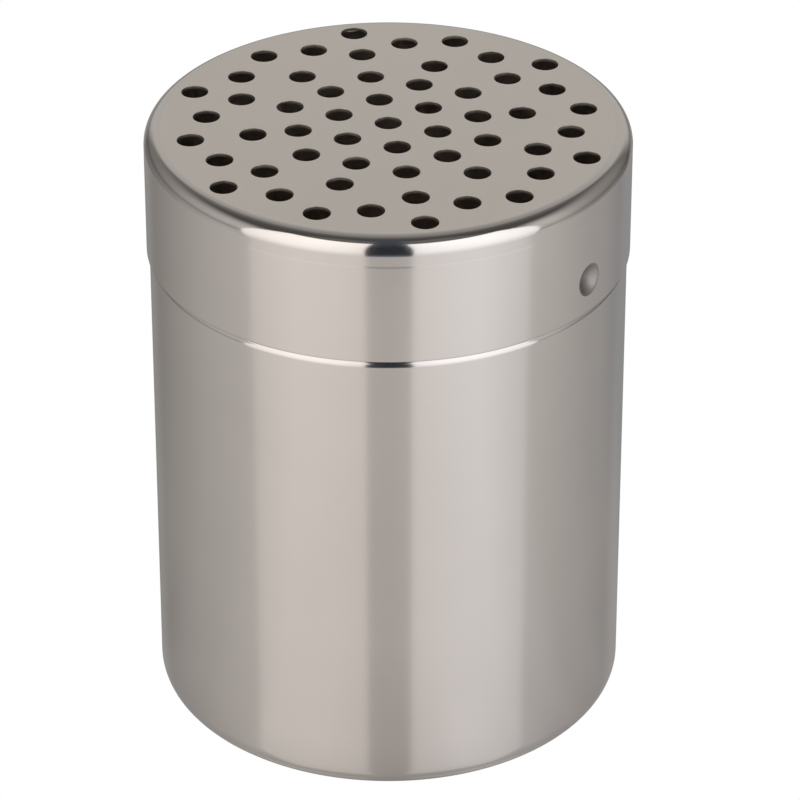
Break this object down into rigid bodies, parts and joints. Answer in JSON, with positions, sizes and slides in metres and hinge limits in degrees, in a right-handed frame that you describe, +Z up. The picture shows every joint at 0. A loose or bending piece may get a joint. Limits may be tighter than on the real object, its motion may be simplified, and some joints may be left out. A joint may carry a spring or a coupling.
{
  "type": "spice shaker",
  "caption": "Round free-standing sheet-steel shaker: a straight-walled cup and a perforated cap that twist-locks on its neck and lifts off for filling.",
  "frame": {"origin": "centre of the cup's flat base, on the surface it stands on", "axes": "+Z up along the shaker's axis, -Y the front that faces the viewer, +X to the viewer's right"},
  "size_m": [0.07, 0.07, 0.0918],
  "materials": {
    "cup": "fine round-brushed stainless steel, satin to bright",
    "lid": "satin stainless top, bright polished edge, fine round-brushed skirt"
  },
  "bodies": {
    "cup": {"cup": "cup"},
    "lid": {"lid": "lid"}
  },
  "joints": [
    {"name": "lid_lift", "type": "slide", "parent": "cup", "child": "lid", "axis": [0, 0, 1], "range_m": [0, 0.05]}
  ]
}
